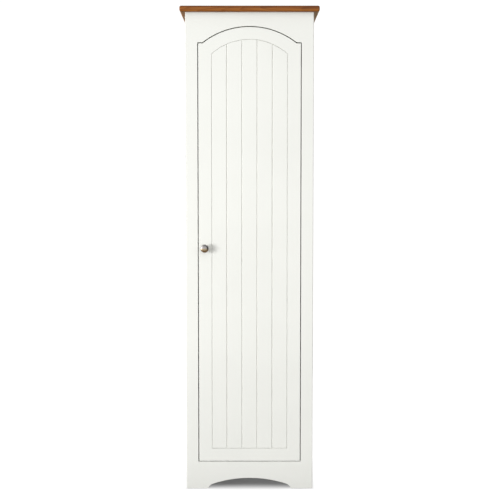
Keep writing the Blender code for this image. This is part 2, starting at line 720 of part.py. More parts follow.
def drill(obj, name, point, radius, z_range):
    centre = (*point, sum(z_range) / 2)
    boolean(obj, hide_cutter(cylinder(name, radius, 2 * OVERCUT, centre, sides=EYE_SIDES)))


# ---- catch -------------------------------------------------------------------------------------
def make_catch():
    """Magnetic catch on the side panel behind the left stile, and its strike plate on the door."""
    wall = -INNER_HALF + GAP
    plate_in = (DOOR_THICKNESS + GAP, DOOR_THICKNESS + GAP + STRIKE_THICKNESS)
    catch_front = plate_in[1] + GAP
    keep(board("magnetic_catch", (wall, wall + CATCH_WIDTH),
               (inside(catch_front), inside(catch_front + CATCH_DEPTH)),
               (CATCH_Z - CATCH_HALF_HEIGHT, CATCH_Z + CATCH_HALF_HEIGHT)), PLASTIC)
    strike = (-DOOR_HALF + STRIKE_EDGE_IN, wall + CATCH_WIDTH)
    keep(board("catch_strike_plate", strike, (inside(plate_in[0]), inside(plate_in[1])),
               (CATCH_Z - STRIKE_HALF_HEIGHT, CATCH_Z + STRIKE_HALF_HEIGHT)), STEEL)


clear_scene()
PARTS = new_collection("pantry_cabinet")
CUTTERS = new_collection("cutters")
make_top_board()
make_side_panel("left", -1)
make_side_panel("right", 1)
make_case_boards()
make_shelves()
make_glides()
make_face_frame()
make_door_frame()
make_planks()
make_knob()
make_hinges()
make_catch()
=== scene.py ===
"""Looks of the pantry cabinet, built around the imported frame: painted face frame and door with eased
edges, tongue-and-groove planks, moulded oak top, turned knob, concealed hinges and inner fittings.

Metres, in the frame's own axes: +Z up, the door faces -Y, the hinges are at +X.
"""

import json
import math

import bmesh
import bpy
from mathutils import Matrix, Vector

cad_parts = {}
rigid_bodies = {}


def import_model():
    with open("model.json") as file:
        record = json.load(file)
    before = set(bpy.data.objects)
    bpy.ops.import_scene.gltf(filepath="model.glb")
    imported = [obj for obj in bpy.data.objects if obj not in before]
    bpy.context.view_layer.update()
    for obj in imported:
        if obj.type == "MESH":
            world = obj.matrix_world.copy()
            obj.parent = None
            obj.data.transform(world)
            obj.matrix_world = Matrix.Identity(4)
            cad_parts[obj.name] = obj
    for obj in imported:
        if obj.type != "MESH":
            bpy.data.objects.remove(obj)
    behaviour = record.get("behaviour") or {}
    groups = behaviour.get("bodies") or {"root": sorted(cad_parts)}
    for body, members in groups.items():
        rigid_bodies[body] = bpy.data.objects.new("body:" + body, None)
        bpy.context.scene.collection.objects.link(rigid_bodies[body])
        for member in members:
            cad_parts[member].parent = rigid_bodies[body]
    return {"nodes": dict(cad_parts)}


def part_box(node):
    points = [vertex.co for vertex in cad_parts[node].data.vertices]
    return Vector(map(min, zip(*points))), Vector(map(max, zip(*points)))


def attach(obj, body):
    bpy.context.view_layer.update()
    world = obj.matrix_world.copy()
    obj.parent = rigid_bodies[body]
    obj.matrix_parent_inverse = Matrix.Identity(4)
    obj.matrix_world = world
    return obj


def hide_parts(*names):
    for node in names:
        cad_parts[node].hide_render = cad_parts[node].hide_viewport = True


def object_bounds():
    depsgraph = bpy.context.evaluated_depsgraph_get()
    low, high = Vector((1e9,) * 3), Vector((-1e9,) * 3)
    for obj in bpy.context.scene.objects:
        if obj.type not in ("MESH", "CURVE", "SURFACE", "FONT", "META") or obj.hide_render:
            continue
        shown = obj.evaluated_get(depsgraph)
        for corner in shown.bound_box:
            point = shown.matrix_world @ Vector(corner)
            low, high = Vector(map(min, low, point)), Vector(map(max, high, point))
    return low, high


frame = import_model()
CAD_BOX = [list(corner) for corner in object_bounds()]

# ---- places read from the frame ---------------------------------------------------------------
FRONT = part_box("frame_stile_left")[0].y
FRAME_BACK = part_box("frame_stile_left")[1].y
BODY_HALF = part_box("frame_stile_right")[1].x
OPENING_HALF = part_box("frame_stile_right")[0].x
CASE_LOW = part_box("frame_stile_left")[0].z
CASE_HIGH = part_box("frame_stile_left")[1].z
OPENING_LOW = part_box("frame_bottom_rail")[1].z
OPENING_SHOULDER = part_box("frame_top_rail")[0].z
DOOR_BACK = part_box("door_stile_right")[1].y
DOOR_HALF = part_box("door_stile_right")[1].x
DOOR_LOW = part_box("door_stile_right")[0].z
PANEL_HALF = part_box("door_stile_right")[0].x
PANEL_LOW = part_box("door_bottom_rail")[1].z
PLANK_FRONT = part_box("door_plank_1")[0].y
PLANK_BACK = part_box("door_plank_1")[1].y
PLANKS = 5
HINGES = 3

# ---- arches, repeated from the part's own dimensions -------------------------------------------
ARC_CENTRE_Z = 1.4447
OPENING_ARC_RADIUS = 0.2828
DOOR_GAP = 0.0025
DOOR_SHOULDER = OPENING_SHOULDER - DOOR_GAP
DOOR_ARC_RADIUS = OPENING_ARC_RADIUS - DOOR_GAP
SIDE_REVEAL = 0.0003
ARCH_REVEAL = 0.0005
PANEL_ARC_CENTRE_Z = 1.4675
PANEL_ARC_RADIUS = 0.2124
APRON_APEX = 0.042
APRON_RADIUS = 0.440
APRON_HALF = 0.158
APRON_END_RADIUS = 0.030
ARC_STEP = math.radians(1.5)

# ---- edge softness -----------------------------------------------------------------------------
CORNER_EASE = 0.0030
EDGE_EASE = 0.0006
BOARD_EASE = 0.0007
RIM_MARGIN = 0.010
GROOVE_HALF = 0.0026
GROOVE_DEPTH = 0.0018
SLOT_HALF = 0.0004
SLOT_DEPTH = 0.0032
SEAM_EASE = 0.0012
SHELF_EASE = 0.0015
THIN_BOARD_EASE = 0.0004
CREASE_ANGLE = math.radians(40)

# ---- sizes of the oak top ----------------------------------------------------------------------
TOP_ROUNDOVER = 0.0065
TOP_ROUND_UNDER = 0.0075
TOP_ROUND_STEPS = 9
TOP_CORNER_RADIUS = 0.0040
TOP_CORNER_LEAST = 0.0012
TOP_CORNER_LOSS = 0.3

# ---- sizes of the case's holes and rabbets -----------------------------------------------------
SHELVES = (1, 2, 3)
PIN_RADIUS = 0.0025
PIN_CLEARANCE = 0.0003
PIN_DEPTH = 0.008
PIN_PITCH = 0.032
PIN_ROWS_EACH_WAY = 2
RABBET_WIDTH = 0.010
RABBET_GAP = 0.0002
OVERCUT = 0.002

# ---- sizes of the hinges, catch and knob -------------------------------------------------------
CUP_X = 0.167
CUP_RADIUS = 0.0170
CUP_CLEARANCE = 0.0003
CUP_DEPTH = 0.0117
BORE_PAST_FLOOR = 0.00035
BORE_PAST_FACE = 0.00995

EAR_OFFSET = 0.0095
EAR_REACH = 0.0225
PLATE_SCREW_REACH = 0.0150
ARM_THICKNESS = 0.0045
ARM_SCREW_REACH = 0.0055
# Radius and height of the screw heads.
CUP_SCREW = (0.0034, 0.0011)
PLATE_SCREW = (0.0036, 0.0012)
ARM_SCREW = (0.0029, 0.0010)
FITTING_EASE = 0.0003

CATCH_EASE = 0.0014
CATCH_SLOT_MARGIN = 0.004
CATCH_SLOT_DEPTH = 0.004
CATCH_SLOT_HALF = 0.011
POLE_OFFSET = 0.0075
POLE_HALF = 0.0012
POLE_SIDE_GAP = 0.001
POLE_SETBACK = 0.0002
POLE_REACH = 0.0045

KNOB_TIP = 0.028
KNOB_BASE = 0.0003
# The knob's outline: (radius, distance behind its tip), then (radius, height off the door).
KNOB_FACE = [(0.0, 0.0), (0.0060, 0.0004), (0.0105, 0.0016), (0.0140, 0.0040), (0.0158, 0.0072),
             (0.01597, 0.0095), (0.0152, 0.0115), (0.0125, 0.0130), (0.0085, 0.0142),
             (0.0064, 0.0165)]
KNOB_STEM = [(0.0060, 0.0065), (0.0067, 0.0044), (0.0081, 0.0031), (0.0086, 0.0018),
             (0.0086, KNOB_BASE)]

# ---- colours and wood --------------------------------------------------------------------------
WHITE = (0.800, 0.806, 0.765)
# Height over which painted shade darkens the paint towards the floor.
FLOOR_SHADE_HEIGHT = 0.13
STAVE_WIDTH = 0.083
RINGS_PER_METRE = 170.0
RING_WANDER = 17.0
PORE_STAIN = (0.060, 0.020, 0.008, 1.0)
FIBRE_STAIN = (0.155, 0.052, 0.016, 1.0)

# ---- settings of the camera, floor and light ---------------------------------------------------
EYE_HEIGHT = 1.20
FACE_DISTANCE = 4.42
AIM_HEIGHT = 0.9029
AIM_X = 0.0017
LENS = 85.72

FLOOR_RADIUS = 2.4
FLOOR_GREY = (0.36, 0.36, 0.36)
FLOOR_REFLECTED = (0.30, 0.19, 0.10, 1.0)
SHADE_INSIDE = 0.085
SHADE_OUTSIDE = 0.055
SHADE_DARK = 0.105
SHADE_LIGHT = 0.95

ROOM_LIGHT = 1.50
GLOSS_LIGHT = 1.6
BACKDROP = 1.05
GLOSS_BELOW = (0.86, 0.70, 0.42)

# The key light stands this far from the middle of the face, and points at (x, z) on it.
KEY_DISTANCE = 5.0
KEY_AZIMUTH = math.radians(52)
KEY_HEIGHT = 1.02
KEY_SIZE = (2.1, 1.7)
KEY_POWER = 33.5
KEY_SPREAD = math.radians(70)
KEY_AIM = (0.5, 0.98)
NO_TINT = (1.0, 1.0, 1.0, 1.0)


# ---- camera ------------------------------------------------------------------------------------
def make_camera():
    """Eye a little above the middle of the door, straight in front, long lens."""
    data = bpy.data.cameras.new("camera")
    data.lens = LENS
    camera = bpy.data.objects.new("camera", data)
    bpy.context.scene.collection.objects.link(camera)
    eye = Vector((AIM_X, FRONT - FACE_DISTANCE, EYE_HEIGHT))
    aim = Vector((AIM_X, FRONT, AIM_HEIGHT))
    camera.location = eye
    camera.rotation_euler = (aim - eye).to_track_quat("-Z", "Y").to_euler()
    bpy.context.scene.camera = camera


# ---- node material helpers ---------------------------------------------------------------------
class Nodes:
    """A small wrapper that adds shader nodes and links them by name."""

    def __init__(self, tree):
        self.tree = tree

    def add(self, kind, inputs=None, **settings):
        node = self.tree.nodes.new(kind)
        for name, value in settings.items():
            setattr(node, name, value)
        for name, value in (inputs or {}).items():
            socket = node.inputs[name]
            if isinstance(value, bpy.types.NodeSocket):
                self.tree.links.new(value, socket)
            else:
                socket.default_value = value
        return node

    def noise(self, vector, scale, detail, roughness=0.5):
        node = self.add("ShaderNodeTexNoise", {
            "Vector": vector, "Scale": scale, "Detail": detail, "Roughness": roughness})
        return node.outputs["Fac"]

    def ramp(self, factor, stops):
        """Colours that ease from one (position, colour) stop to the next."""
        node = self.add("ShaderNodeValToRGB", {"Fac": factor})
        ramp = node.color_ramp
        ramp.interpolation = "EASE"
        while len(ramp.elements) < len(stops):
            ramp.elements.new(0.5)
        for element, (place, colour) in zip(ramp.elements, stops):
            element.position = place
            element.color = (*colour, 1.0)
        return node.outputs["Color"]

    def mix(self, factor, first, second, blend="MIX"):
        node = self.add("ShaderNodeMix", data_type="RGBA", blend_type=blend)
        for index, value in ((0, factor), (6, first), (7, second)):
            socket = node.inputs[index]
            if isinstance(value, bpy.types.NodeSocket):
                self.tree.links.new(value, socket)
            else:
                socket.default_value = value
        return node.outputs[2]

    def math(self, operation, first, second=0.0):
        node = self.add("ShaderNodeMath", operation=operation)
        for index, value in enumerate((first, second)):
            if isinstance(value, bpy.types.NodeSocket):
                self.tree.links.new(value, node.inputs[index])
            else:
                node.inputs[index].default_value = value
        return node.outputs["Value"]

    def spread(self, value, low, high, new_low, new_high):
        node = self.add("ShaderNodeMapRange", {
            "Value": value, "From Min": low, "From Max": high,
            "To Min": new_low, "To Max": new_high})
        return node.outputs["Result"]

    def levels(self, value, stops):
        """A smooth curve of brightness through (position, level) stops."""
        return self.ramp(value, [(at, (level, level, level)) for at, level in stops])

    def blend(self, factor, first, second):
        """first + factor * (second - first), for plain numbers."""
        kept = self.math("MULTIPLY", self.math("SUBTRACT", 1.0, factor), first)
        return self.math("ADD", kept, self.math("MULTIPLY", factor, second))

    def place(self, scale=(1.0, 1.0, 1.0), offset=(0.0, 0.0, 0.0)):
        """Object coordinates in metres, stretched and shifted."""
        source = self.add("ShaderNodeTexCoord").outputs["Object"]
        node = self.add("ShaderNodeMapping", {
            "Vector": source, "Scale": scale, "Location": offset})
        return node.outputs["Vector"]

    def bump(self, height, strength, distance):
        node = self.add("ShaderNodeBump", {
            "Height": height, "Strength": strength, "Distance": distance})
        return node.outputs["Normal"]


def new_material(name, base, roughness, metallic=0.0, **sockets):
    """A material with its Principled shader; returns the material, its nodes and the shader."""
    made = bpy.data.materials.new(name)
    made.use_nodes = True
    shader = made.node_tree.nodes["Principled BSDF"]
    shader.inputs["Base Color"].default_value = (*base, 1.0)
    shader.inputs["Roughness"].default_value = roughness
    shader.inputs["Metallic"].default_value = metallic
    for socket, value in sockets.items():
        shader.inputs[socket.replace("_", " ")].default_value = value
    return made, Nodes(made.node_tree), shader


def link(made, output, socket):
    made.node_tree.links.new(output, socket)


def paint_material(name, colour, roughness, grain_axis):
    """Sprayed satin paint: orange peel, a trace of the wood below, slight drift, and painted shade
    that darkens it towards the floor.
    """
    made, nodes, shader = new_material(name, colour, roughness)
    drift = nodes.noise(nodes.place(), 3.2, 3.0)
    light = tuple(min(1.0, c * 1.012) for c in colour)
    dark = tuple(c * 0.984 for c in colour)
    tone = nodes.ramp(drift, [(0.30, dark), (0.70, light)])
    where = nodes.add("ShaderNodeSeparateXYZ", {"Vector": nodes.place()})
    # Painted shade: the paint's colour is darkened over its lowest stretch, towards the floor.
    rise = nodes.spread(where.outputs["Z"], 0.0, FLOOR_SHADE_HEIGHT, 0.0, 1.0)
    painted_floor_shade = nodes.levels(rise, [(0.0, 0.945), (0.5, 0.978), (1.0, 1.0)])
    link(made, nodes.mix(1.0, tone, painted_floor_shade, "MULTIPLY"), shader.inputs["Base Color"])
    stretch = {"X": (6.0, 160.0, 160.0), "Z": (160.0, 160.0, 6.0)}
    strokes = nodes.noise(nodes.place(stretch[grain_axis]), 1.0, 4.0, 0.6)
    peel = nodes.noise(nodes.place(), 520.0, 2.0)
    rough = nodes.spread(strokes, 0.30, 0.70, roughness - 0.05, roughness + 0.06)
    link(made, rough, shader.inputs["Roughness"])
    height = nodes.math("ADD", nodes.math("MULTIPLY", strokes, 0.55),
                        nodes.math("MULTIPLY", peel, 0.45))
    link(made, nodes.bump(height, 0.22, 0.00025), shader.inputs["Normal"])
    return made


def oak_material():
    """Stained oak, grain along X: staves, growth rings, pores, and painted shade on the moulded edge
    by height.
    """
    made, nodes, shader = new_material("stained_oak", (0.34, 0.125, 0.035), 0.42,
                                       Specular_IOR_Level=0.30)
    where = nodes.add("ShaderNodeTexCoord").outputs["Object"]
    parts = nodes.add("ShaderNodeSeparateXYZ", {"Vector": where})
    stave = nodes.math("FLOOR", nodes.math("DIVIDE", parts.outputs["Y"], STAVE_WIDTH))
    lot = nodes.add("ShaderNodeTexWhiteNoise", {"W": stave}, noise_dimensions="1D").outputs["Color"]
    shift = nodes.add("ShaderNodeVectorMath", {0: lot, 1: (3.0, 0.6, 0.9)}, operation="MULTIPLY")
    local = nodes.add("ShaderNodeVectorMath", {0: where, 1: shift.outputs[0]}, operation="ADD")
    local = local.outputs[0]

    def stretched(scale):
        return nodes.add("ShaderNodeMapping", {"Vector": local, "Scale": scale}).outputs["Vector"]

    wander = nodes.noise(stretched((1.6, 9.0, 9.0)), 1.0, 2.0)
    across = nodes.add("ShaderNodeSeparateXYZ", {"Vector": local}).outputs["Y"]
    rings = nodes.math("FRACT", nodes.math("ADD", nodes.math("MULTIPLY", wander, RING_WANDER),
                                           nodes.math("MULTIPLY", across, RINGS_PER_METRE)))
    streak = nodes.noise(stretched((2.2, 95.0, 120.0)), 1.0, 4.0, 0.62)
    fibre = nodes.noise(stretched((14.0, 700.0, 700.0)), 1.0, 3.0, 0.6)
    pores = nodes.ramp(nodes.noise(stretched((9.0, 900.0, 900.0)), 1.0, 1.0, 0.4),
                       [(0.60, (0.0, 0.0, 0.0)), (0.70, (1.0, 1.0, 1.0))])
    wood = nodes.ramp(streak, [(0.26, (0.228, 0.071, 0.010)), (0.50, (0.362, 0.121, 0.017)),
                               (0.76, (0.485, 0.189, 0.031))])
    late = nodes.ramp(rings, [(0.0, (1.0, 1.0, 1.0)), (0.62, (0.90, 0.88, 0.86)),
                              (0.92, (0.62, 0.54, 0.50)), (1.0, (0.95, 0.94, 0.93))])
    wood = nodes.mix(0.75, wood, late, "MULTIPLY")
    wood = nodes.mix(nodes.spread(fibre, 0.35, 0.75, 0.0, 0.35), wood, FIBRE_STAIN)
    wood = nodes.mix(nodes.math("MULTIPLY", pores, 0.6), wood, PORE_STAIN)
    tone = nodes.add("ShaderNodeTexWhiteNoise", {"W": nodes.math("ADD", stave, 31.0)},
                     noise_dimensions="1D").outputs["Value"]
    wood = nodes.mix(1.0, wood, nodes.ramp(tone, [(0.0, (0.86, 0.85, 0.84)),
                                                  (1.0, (1.06, 1.05, 1.04))]), "MULTIPLY")
    # Painted shade on the moulded edge, by height alone: darker on the underside, darkest on the upper
    # roundover, a little darker on top.
    low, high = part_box("top_board")
    rise = nodes.spread(parts.outputs["Z"], low.z, high.z, 0.0, 1.0)
    painted_edge_shade = nodes.ramp(rise, [(0.0, (0.60, 0.54, 0.50)), (0.04, (1.0, 1.0, 1.0)),
                              (0.50, (1.0, 1.0, 1.0)), (0.72, (0.78, 0.74, 0.70)),
                              (0.90, (0.56, 0.49, 0.44)), (0.97, (0.56, 0.49, 0.44)),
                              (1.0, (0.90, 0.87, 0.84))])
    link(made, nodes.mix(1.0, wood, painted_edge_shade, "MULTIPLY"), shader.inputs["Base Color"])
    link(made, nodes.spread(fibre, 0.3, 0.7, 0.36, 0.50), shader.inputs["Roughness"])
    height = nodes.math("SUBTRACT", nodes.math("MULTIPLY", fibre, 0.35), pores)
    link(made, nodes.bump(height, 0.30, 0.00018), shader.inputs["Normal"])
    return made


def metal_material(name, colour, roughness):
    """Plated metal: fine satin texture, slightly cloudy colour."""
    made, nodes, shader = new_material(name, colour, roughness, 1.0)
    cloud = nodes.noise(nodes.place(), 90.0, 3.0)
    fine = nodes.noise(nodes.place((260.0, 260.0, 260.0)), 6.0, 3.0, 0.6)
    dark = tuple(c * 0.92 for c in colour)
    link(made, nodes.ramp(cloud, [(0.35, dark), (0.65, colour)]), shader.inputs["Base Color"])
    link(made, nodes.spread(fine, 0.3, 0.7, roughness - 0.05, roughness + 0.08),
         shader.inputs["Roughness"])
    link(made, nodes.bump(fine, 0.10, 0.00010), shader.inputs["Normal"])
    return made


def plastic_material(name, colour, roughness):
    """Moulded plastic with a fine spark-eroded texture."""
    made, nodes, shader = new_material(name, colour, roughness)
    grain = nodes.noise(nodes.place(), 1400.0, 2.0)
    dark = tuple(c * 0.93 for c in colour)
    link(made, nodes.ramp(grain, [(0.35, dark), (0.65, colour)]), shader.inputs["Base Color"])
    link(made, nodes.spread(grain, 0.3, 0.7, roughness - 0.06, roughness + 0.06),
         shader.inputs["Roughness"])
    link(made, nodes.bump(grain, 0.15, 0.00010), shader.inputs["Normal"])
    return made


# ---- mesh helpers ------------------------------------------------------------------------------
def finish_piece(obj, material, slot, body, *nodes):
    """Material, shading, body and the CAD nodes that the piece stands for; the slot argument is not
    used.
    """
    if obj.name not in bpy.context.scene.collection.objects:
        bpy.context.scene.collection.objects.link(obj)
    obj.data.materials.clear()
    obj.data.materials.append(material)
    obj.data.shade_smooth()
    obj.data.set_sharp_from_angle(angle=math.radians(38))
    weighted = obj.modifiers.new("weighted_normals", "WEIGHTED_NORMAL")
    weighted.keep_sharp = True
    weighted.weight = 70
    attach(obj, body)
    if nodes:
        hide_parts(*nodes)


def object_from(bm, name):
    bmesh.ops.recalc_face_normals(bm, faces=bm.faces)
    mesh = bpy.data.meshes.new(name)
    bm.to_mesh(mesh)
    bm.free()
    return bpy.data.objects.new(name, mesh)


def slab(outlines, y_range):
    """A bmesh of joined (x, z) outlines that share corners, thickened from front to back."""
    bm = bmesh.new()
    corners = {}

    def corner(point):
        key = (round(point[0], 6), round(point[1], 6))
        if key not in corners:
            corners[key] = bm.verts.new((point[0], y_range[0], point[1]))
        return corners[key]

    for outline in outlines:
        bm.faces.new([corner(point) for point in outline])
    bmesh.ops.recalc_face_normals(bm, faces=bm.faces)
    grown = bmesh.ops.extrude_face_region(bm, geom=bm.faces[:], use_keep_orig=True)
    moved = [item for item in grown["geom"] if isinstance(item, bmesh.types.BMVert)]
    bmesh.ops.translate(bm, verts=moved, vec=(0.0, y_range[1] - y_range[0], 0.0))
    bmesh.ops.recalc_face_normals(bm, faces=bm.faces)
    return bm


def sharp_edges(bm, keep):
    """Creased edges that pass a test on their two ends."""
    return [edge for edge in bm.edges if len(edge.link_faces) == 2
            and edge.calc_face_angle() > CREASE_ANGLE and all(keep(vert.co) for vert in edge.verts)]


def round_edges(bm, edges, width, segments=3):
    bmesh.ops.bevel(bm, geom=edges, offset=width, offset_type="OFFSET", segments=segments,
                    profile=0.5, affect="EDGES", clamp_overlap=False, miter_outer="SHARP",
                    miter_inner="SHARP")


def near(value, target, reach=1e-5):
    return abs(value - target) < reach


def eased_box(name, low, high, ease=BOARD_EASE, segments=2):
    """A board with all its edges eased."""
    bm = bmesh.new()
    size = Vector(high) - Vector(low)
    centre = (Vector(high) + Vector(low)) / 2
    matrix = Matrix.Translation(centre) @ Matrix.Diagonal((*size, 1.0))
    bmesh.ops.create_cube(bm, size=1.0, matrix=matrix)
    round_edges(bm, bm.edges[:], ease, segments)
    return object_from(bm, name)


def lathe(name, profile, matrix, sides):
    """A closed turned shape: (radius, height) pairs from axis to axis, about local Z."""
    bm = bmesh.new()
    rings = []
    for radius, height in profile:
        if radius < 1e-9:
            rings.append([bm.verts.new((0.0, 0.0, height))])
            continue
        turn = [2 * math.pi * i / sides for i in range(sides)]
        rings.append([bm.verts.new((radius * math.cos(a), radius * math.sin(a), height))
                      for a in turn])
    for first, second in zip(rings, rings[1:]):
        for i in range(sides):
            j = (i + 1) % sides
            if len(first) == 1 and len(second) == 1:
                continue
            if len(first) == 1:
                bm.faces.new((first[0], second[i], second[j]))
            elif len(second) == 1:
                bm.faces.new((first[i], second[0], first[j]))
            else:
                bm.faces.new((first[i], second[i], second[j], first[j]))
    bm.transform(matrix)
    return object_from(bm, name)


def smooth_profile(points, steps):
    """Catmull-Rom through (radius, height) points, ends kept."""
    points = [Vector(p) for p in points]
    padded = [2 * points[0] - points[1]] + points + [2 * points[-1] - points[-2]]
    result = []
    for a, b, c, d in zip(padded, padded[1:], padded[2:], padded[3:]):
        for i in range(steps):
            t = i / steps
            value = 0.5 * (2 * b + (c - a) * t + (2 * a - 5 * b + 4 * c - d) * t * t
                           + (3 * b - a - 3 * c + d) * t ** 3)
            result.append((max(0.0, value.x), value.y))
    result.append(tuple(points[-1]))
    return result


def cut(obj, cutters):
    """Subtract the cutters one after another with exact Booleans, and remove them."""
    scene = bpy.context.scene.collection.objects
    if obj.name not in scene:
        scene.link(obj)
    for cutter in cutters:
        scene.link(cutter)
        step = obj.modifiers.new("cut", "BOOLEAN")
        step.operation = "DIFFERENCE"
        step.solver = "EXACT"
        step.object = cutter
    bpy.context.view_layer.update()
    evaluated = obj.evaluated_get(bpy.context.evaluated_depsgraph_get())
    mesh = bpy.data.meshes.new_from_object(evaluated)
    obj.modifiers.clear()
    obj.data = mesh
    for cutter in cutters:
        bpy.data.objects.remove(cutter, do_unlink=True)
    return obj


def rod(name, radius, length, centre, axis, sides):
    """A plain cutter cylinder."""
    bm = bmesh.new()
    turn = {"X": Matrix.Rotation(math.pi / 2, 4, "Y"), "Y": Matrix.Rotation(math.pi / 2, 4, "X")}
    bmesh.ops.create_cone(bm, cap_ends=True, segments=sides, radius1=radius, radius2=radius,
                          depth=length, matrix=Matrix.Translation(centre) @ turn[axis])
    return object_from(bm, name)


# ---- outlines ----------------------------------------------------------------------------------
def arc(centre, radius, start, end, step=ARC_STEP):
    count = max(2, math.ceil(abs(end - start) / step))
    angles = [start + (end - start) * i / count for i in range(count + 1)]
    return [(centre[0] + radius * math.cos(a), centre[1] + radius * math.sin(a)) for a in angles]


def arch(centre_z, radius, x_start, x_end):
    """Upper arc about (0, centre_z) from one x to another, both ends included."""
    return arc((0.0, centre_z), radius, math.acos(x_start / radius), math.acos(x_end / radius))


def arch_height(centre_z, radius, x):
    return centre_z + math.sqrt(radius ** 2 - x ** 2)


def half_chord(centre_z, radius, z):
    return math.sqrt(radius ** 2 - (z - centre_z) ** 2)


def mirrored(outline):
    return [(-u, v) for u, v in reversed(outline)]


def apron_edge():
    """Lower edge of the apron from the right foot to the left foot."""
    centre_z = APRON_APEX - APRON_RADIUS
    end_x = APRON_HALF - APRON_END_RADIUS
    end_z = centre_z + math.sqrt((APRON_RADIUS - APRON_END_RADIUS) ** 2 - end_x ** 2)
    tangent = math.atan2(end_z - centre_z, end_x)
    foot = math.asin((CASE_LOW - end_z) / APRON_END_RADIUS)
    right = arc((end_x, end_z), APRON_END_RADIUS, foot, tangent, math.radians(8))
    top = arc((0.0, centre_z), APRON_RADIUS, tangent, math.pi - tangent)
    return right + top[1:-1] + mirrored(right)


# ---- face frame and case -----------------------------------------------------------------------
def make_face_frame(paint):
    """Stiles, arched head rail and apron as one painted frame with eased edges."""
    out, hole = BODY_HALF, OPENING_HALF + SIDE_REVEAL
    low, high = CASE_LOW, CASE_HIGH
    shoulder = OPENING_SHOULDER + ARCH_REVEAL
    radius = OPENING_ARC_RADIUS + ARCH_REVEAL
    spring = half_chord(ARC_CENTRE_Z, radius, shoulder)
    right = [(hole, low), (out, low), (out, high), (hole, high), (hole, shoulder),
             (hole, OPENING_LOW)]
    head = [(-hole, high), (-hole, shoulder)]
    head += arch(ARC_CENTRE_Z, radius, -spring, spring)
    head += [(hole, shoulder), (hole, high)]
    apron = [(hole, OPENING_LOW), (hole, low)] + apron_edge() + [(-hole, low), (-hole, OPENING_LOW)]
    bm = slab([right, mirrored(right), head, apron], (FRONT, FRAME_BACK))
    corners = sharp_edges(bm, lambda p: near(p.y, FRONT) and near(abs(p.x), out))
    round_edges(bm, corners, CORNER_EASE, 5)
    rim = sharp_edges(bm, lambda p: (near(p.y, FRONT) and abs(p.x) < out - RIM_MARGIN
                                     and p.z < high - RIM_MARGIN))
    rim = [edge for edge in rim if not all(near(vert.co.z, low) for vert in edge.verts)]
    round_edges(bm, rim, EDGE_EASE)
    finish_piece(object_from(bm, "face_frame"), paint, "front_paint", "cabinet",
                 "frame_stile_left", "frame_stile_right", "frame_top_rail", "frame_bottom_rail")


def pin_hole_heights():
    """Hole centres: the pin under each adjustable shelf and the holes above and below it."""
    steps = range(-PIN_ROWS_EACH_WAY, PIN_ROWS_EACH_WAY + 1)
    centres = []
    for shelf in SHELVES:
        low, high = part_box(f"shelf_pin_{shelf}_left_front")
        centres += [(low.z + high.z) / 2 + step * PIN_PITCH for step in steps]
    return centres


def make_side_panel(side, sign, paint):
    """Side board with its rabbet and shelf-pin holes, long edges eased."""
    low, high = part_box(f"side_panel_{side}")
    inner, outer = (low.x, high.x) if sign > 0 else (high.x, low.x)
    lip = inner + sign * RABBET_WIDTH
    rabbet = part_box("back_panel")[0].y - RABBET_GAP
    outline = [(inner, low.y), (outer, low.y), (outer, high.y), (lip, high.y), (lip, rabbet),
               (inner, rabbet)]
    bm = bmesh.new()
    face = bm.faces.new([bm.verts.new((x, y, low.z)) for x, y in outline])
    grown = bmesh.ops.extrude_face_region(bm, geom=[face], use_keep_orig=True)
    moved = [item for item in grown["geom"] if isinstance(item, bmesh.types.BMVert)]
    bmesh.ops.translate(bm, verts=moved, vec=(0.0, 0.0, high.z - low.z))
    bmesh.ops.recalc_face_normals(bm, faces=bm.faces)
    round_edges(bm, sharp_edges(bm, lambda p: near(p.x, outer)), BOARD_EASE, 2)
    panel = object_from(bm, f"side_board_{side}")
    holes = []
    for z in pin_hole_heights():
        for place in ("front", "rear"):
            pin_low, pin_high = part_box(f"shelf_pin_1_{side}_{place}")
            centre = (inner + sign * (PIN_DEPTH - OVERCUT) / 2, (pin_low.y + pin_high.y) / 2, z)
            holes.append(rod("hole", PIN_RADIUS + PIN_CLEARANCE, PIN_DEPTH + OVERCUT, centre, "X", 20))
    finish_piece(cut(panel, [joined(holes)]), paint, "case_paint", "cabinet", f"side_panel_{side}")


def joined(objects):
    """One object from several that don't touch, for use as a single cutter."""
    bm = bmesh.new()
    for obj in objects:
        bm.from_mesh(obj.data)
        bpy.data.objects.remove(obj)
    return object_from(bm, "cutters")


def make_boards(paint, back_paint):
    """Every plain rectangular board of the case."""
    names = ["bottom_panel", "sub_top", "wall_fixing_rail", "hinge_batten", "fixed_shelf"]
    names += [f"adjustable_shelf_{shelf}" for shelf in SHELVES]
    for name in names:
        ease = SHELF_EASE if "shelf" in name else BOARD_EASE
        finish_piece(eased_box(f"{name}_board", *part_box(name), ease=ease, segments=3), paint,
                     "case_paint", "cabinet", name)
    finish_piece(eased_box("back_board", *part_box("back_panel"), ease=THIN_BOARD_EASE), back_paint,
                 "case_paint", "cabinet", "back_panel")


# ---- oak top -----------------------------------------------------------------------------------
def moulded_edge(thickness):
    """(inset, height) down the top board's edge: roundover, flat, round-under."""
    over, under = TOP_ROUNDOVER, TOP_ROUND_UNDER
    angles = [math.pi / 2 * i / TOP_ROUND_STEPS for i in range(TOP_ROUND_STEPS + 1)]
    upper = [(over * (1 - math.sin(a)), thickness - over * (1 - math.cos(a))) for a in angles]
    lower = [(under * (1 - math.cos(a)), under * (1 - math.sin(a))) for a in angles]
    return upper + lower


